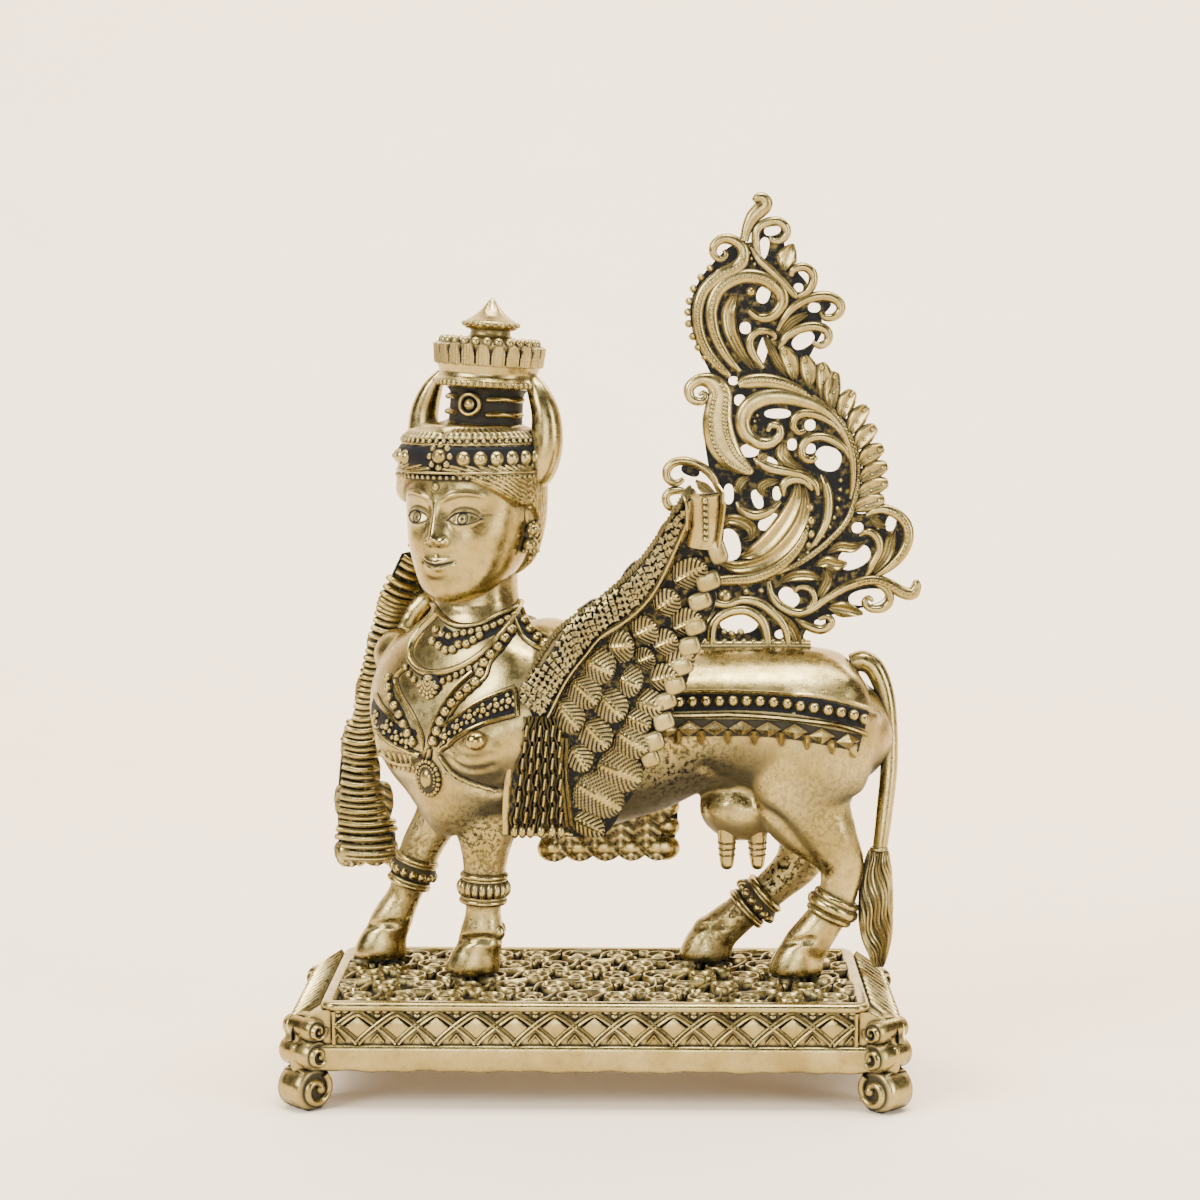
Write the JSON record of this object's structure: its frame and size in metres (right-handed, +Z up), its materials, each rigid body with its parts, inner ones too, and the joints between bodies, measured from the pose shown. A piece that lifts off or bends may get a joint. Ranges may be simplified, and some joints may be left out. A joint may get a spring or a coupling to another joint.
{
  "type": "winged cow goddess statue",
  "caption": "Standing winged cow with a woman's bust, crowned head and openwork tail fan, on a rectangular footed plinth; a cast brass devotional figure for a shelf or altar.",
  "frame": {"origin": "on the ground under the middle of the whole object's outline seen from above", "axes": "+Z up, -X towards the head, -Y towards the viewer of the figure's left side, the side that its face turns to"},
  "size_m": [0.1228, 0.0518, 0.1734],
  "materials": {
    "brass": "antique cast brass, semi-polished on the raised parts, dark patina in the recesses"
  },
  "bodies": {
    "root": {"plinth": "brass", "cow": "brass", "wing_near": "brass", "wing_far": "brass", "tail_fan": "brass"}
  },
  "joints": []
}
